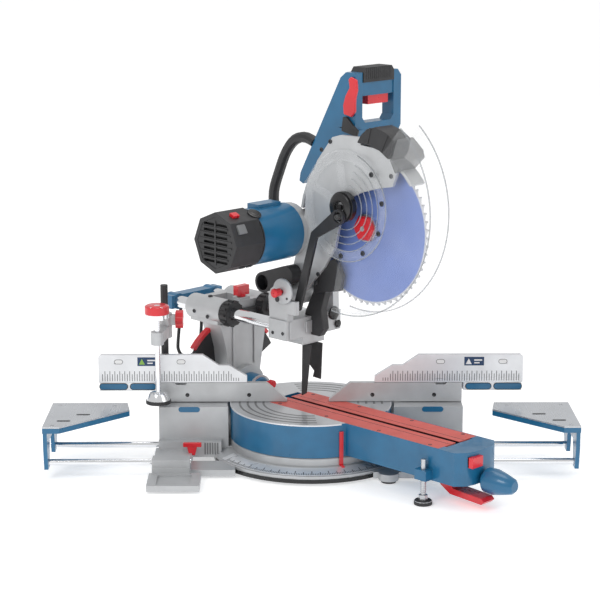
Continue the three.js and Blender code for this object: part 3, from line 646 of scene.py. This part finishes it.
# ---- motor ----
def motor_details():
    s, z = MOTOR
    brush = Shape(SWING)
    for radius, low, high in ((14, 0.0, 3.2), (9.5, 3.2, 4.4)):
        ring = [(radius, low), (radius, high), (radius - 3, high + 0.6), (0.5, high + 0.6), (0.5, low)]
        brush.lathe("z", (0, 0), ring, 28)
    foot = polar(MOTOR, 55.4, 62)
    place = Matrix.Translation((foot[0], -148, foot[1])) @ Matrix.Rotation(math.radians(28), 4, "Y")
    bmesh.ops.transform(brush.bm, verts=brush.bm.verts, matrix=place)
    brush.piece("brush_cap", "head", "dark_gloss", "black_plastic", 0.4)
    red = Shape(SWING)
    red.ring("y", MOTOR, 50, 61.6, -206, -190, 6, 60, 72)
    red.piece("motor_accent", "head", "red", "red_plastic", 0.6)
    clip = Shape(SWING)
    clip.ring("y", MOTOR, 50, 60.8, -214, -194, 5, 22, 40)
    clip.piece("motor_clip", "head", "grey", "cast", 0.6)
    shell = Shape(SWING)
    shell.ring("y", MOTOR, 50.4, 60.2, -227.2, -152, 8)
    shell.piece("motor_cap_shell", "head", "black", "black_plastic", 1.2)
    fins = Shape(SWING)
    for i in range(-3, 3):
        h = z + 6 + 12 * i
        half = math.sqrt(46 ** 2 - (h - z) ** 2)
        fins.box(s - half, s + half, -227.6, -225.8, h - 1.2, h + 1.2)
    fins.box(s - 2, s + 2, -227.4, -225.8, z - 43, z + 43)
    fins.piece("motor_grille", "head", "black", "black_plastic", 0.3)
    seam = Shape(SWING)
    seam.ring("y", MOTOR, 54, 56.35, -149.2, -147.2, 64)
    seam.piece("motor_seam", "head", "ink", "black_plastic", 0)
    slots = Shape(SWING)
    for a in (-62, -50, 150, 162):
        for low in (-190, -172):
            slots.ring("y", MOTOR, 54, 59.4, low, low + 12, 3, a, a + 7)
    slots.piece("motor_side_slots", "head", "ink", "black_plastic", 0)


# ---- guards ----
def guard_details():
    cover = Shape(SWING)
    cover.prism("y", [(150, 655), (180, 652), (208, 645), (230, 631), (238, 641), (244, 668), (222, 682),
                      (196, 689), (174, 683), (160, 671)], -31, 20)
    cover.piece("guard_top_cover", "head", "black", "black_plastic", 2.5)
    ribs = Shape(SWING)
    ribs.prism("y", [(176, 657), (180, 656), (188, 686), (184, 687)], -32.2, -31)
    ribs.prism("y", [(212, 648), (216, 646), (232, 678), (226, 676)], -32.2, -31)
    ribs.piece("guard_top_ribs", "head", "black", "black_plastic", 0.4)
    corner = Shape(SWING)
    corner.prism("y", [(234, 630), (247, 606), (256, 610), (282, 636), (278, 650), (252, 672), (241, 641)],
                 -29.6, 16)
    corner.piece("guard_corner_smoke", "lower_guard", "smoke", "guard_clear", 1.5)
    edges = Shape(SWING)
    for low, high in ((-33.6, -32.2), (19.2, 20.6)):
        edges.ring("y", GUARD, 212.6, 215.4, low, high, 72, -100, 50)
    for radius in (44, 58, 72, 86, 106):
        edges.ring("y", GUARD, radius, radius + 2.2, -37.6, -36.6, 40, -112, 72)
    edges.piece("guard_rim_lines", "lower_guard", "rim", "guard_clear", 0.3)
    screws = Shape(SWING)
    for a in (-95, -60, -25, 10, 45):
        screws.screw("y", polar(GUARD, 98, a), 5.2, -36.5, -38.8)
    screws.piece("hub_screws", "lower_guard", "ink", "steel", 0)
    hub = Shape(SWING)
    hub.lathe("y", GUARD, [(12, -46), (27.4, -46), (27.4, -50), (22, -53), (12, -53)], 36)
    hub.lathe("y", GUARD, [(0.5, -46), (6, -46), (6, -53.3), (0.5, -53.3)], 20)
    hub.lathe("y", GUARD, [(10.5, -33.4), (30, -33.4), (30, -45.8), (10.5, -45.8)], 36)
    hub.piece("hub_cap", "lower_guard", "dark_gloss", "black_plastic", 0.8)
    bolts = Shape(SWING)
    for s, z in ((55, 632), (78, 650), (236, 600), (40, 366), (46, 384)):
        bolts.screw("y", (s, z), 4.4, -27, -29.2)
    bolts.piece("guard_screws", "head", "ink", "black_plastic", 0)
    shield = Shape(SWING)
    shield.prism("y", [(30, 395), (84, 420), (103, 388), (97, 356), (60, 349), (24, 342), (26, 367)], -19, -8.6)
    shield.piece("lower_shield", "head", "black", "black_plastic", 1.5)


def belt_cover_details():
    plate = Shape(SWING)
    plate.prism("y", capsule(BLADE, 30, MOTOR, 36), 43.1, 45.3)
    plate.prism("y", capsule(BLADE, 20, MOTOR, 25), 45.2, 46.4)
    plate.piece("belt_cover", "head", "black", "black_plastic", 1.0)
    screws = Shape(SWING)
    for centre, radius, a in ((BLADE, 25, -60), (BLADE, 25, 60), (MOTOR, 30.5, 120), (MOTOR, 30.5, 240)):
        screws.screw("y", polar(centre, radius, a), 3.2, 45.2, 47)
    screws.piece("belt_cover_screws", "head", "steel", "steel", 0)


def arbor_details():
    red = Shape(SWING)
    red.lathe("y", BLADE, [(0.5, -9.8), (26.6, -9.8), (26.6, -14), (23, -18.2), (0.5, -18.4)], 6)
    red.piece("arbor_nut_cover", "blade", "red", "red_plastic", 0.8)
    centre = Shape(SWING)
    centre.lathe("y", BLADE, [(0.5, -18.2), (5.2, -18.2), (5.2, -19.2), (3, -19.2), (3, -18.7), (0.5, -18.7)], 24)
    centre.piece("arbor_centre", "blade", "steel", "steel", 0.2)
    tips = Shape(SWING)
    for i in range(60):
        a = i * 6
        outline = [polar(BLADE, r, a + t) for r, t in ((152.4, 0.0), (152.4, -1.1), (147.5, -0.9), (147.5, 0.15))]
        tips.prism("y", outline, -1.7, 1.7)
    tips.piece("blade_tips", "blade", "steel", "blade_steel", 0)


# ---- handles ----
def handle_details():
    ribs = Shape(SWING)
    for i in range(13):
        n = 57 + 5.6 * i
        ribs.box(59.4, 94.6, n, n + 2.4, 764, 786.9)
    ribs.piece("grip_ribs", "head", "rubber", "rubber", 0.3)
    beak = Shape(SWING)
    beak.prism("y", [(60, 664), (64, 692), (74, 692), (92, 676), (104, 668), (100, 656)], 21.6, 27.6)
    beak.piece("lever_guard", "head", "black", "black_plastic", 1.5)
    lever = Shape(SWING)
    lever.prism("y", [(66, 697), (86, 693), (96, 704), (96, 728), (101, 746), (99, 766), (84, 771), (78, 766),
                      (81, 750), (70, 733), (64, 714)], 21.6, 27.8)
    made = lever.piece("lock_off_paddle", "lock_off", "red", "red_plastic", 2.2)
    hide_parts("lock_off_lever")


def clamp_details():
    threads = Shape(BASE)
    for i in range(20):
        z = 146 + 4.4 * i
        threads.lathe("z", SPINDLE, [(4.7, z), (5.25, z + 0.7), (5.25, z + 1.2), (4.7, z + 1.9)], 20)
    threads.piece("spindle_threads", "clamp_screw", "chrome", "chrome", 0)
    pad = Shape(BASE)
    pad.lathe("z", SPINDLE, [(7, 117), (25.2, 117), (25.2, 124), (20, 127), (7, 128)], 32)
    pad.piece("spindle_pad", "clamp_screw", "rubber", "rubber", 0.6)
    star = Shape(BASE)
    star.lathe("z", SPINDLE, [(6, 290.6), (12, 290.6), (12, 299), (24.4, 301), (24.4, 316.5), (21, 318.4),
                              (6, 318.4)], 36)
    star.piece("spindle_knob", "clamp_screw", "red", "red_plastic", 0.8)


def foot_threads():
    rings = Shape(SWING)
    for i in range(13):
        z = 15 + 3.6 * i
        rings.lathe("z", FOOT, [(4.8, z), (5.5, z + 0.6), (5.5, z + 1.1), (4.8, z + 1.7)], 20)
    rings.piece("foot_threads", "levelling_foot", "steel", "steel", 0)
    pad = Shape(SWING)
    pad.lathe("z", FOOT, [(6, -4.6), (17.6, -4.6), (17.6, 1), (15, 4.4), (6, 4.4)], 32)
    pad.piece("foot_pad", "levelling_foot", "rubber", "rubber", 0.6)


make_camera()
mains_cord()
rail_lead()
make_stage()
dress_nodes()
table_details()
scale_ring()
base_details()
fence_details()
extension_details()
bevel_details()
collar_details()
bracket_details()
motor_details()
guard_details()
belt_cover_details()
arbor_details()
handle_details()
clamp_details()
foot_threads()
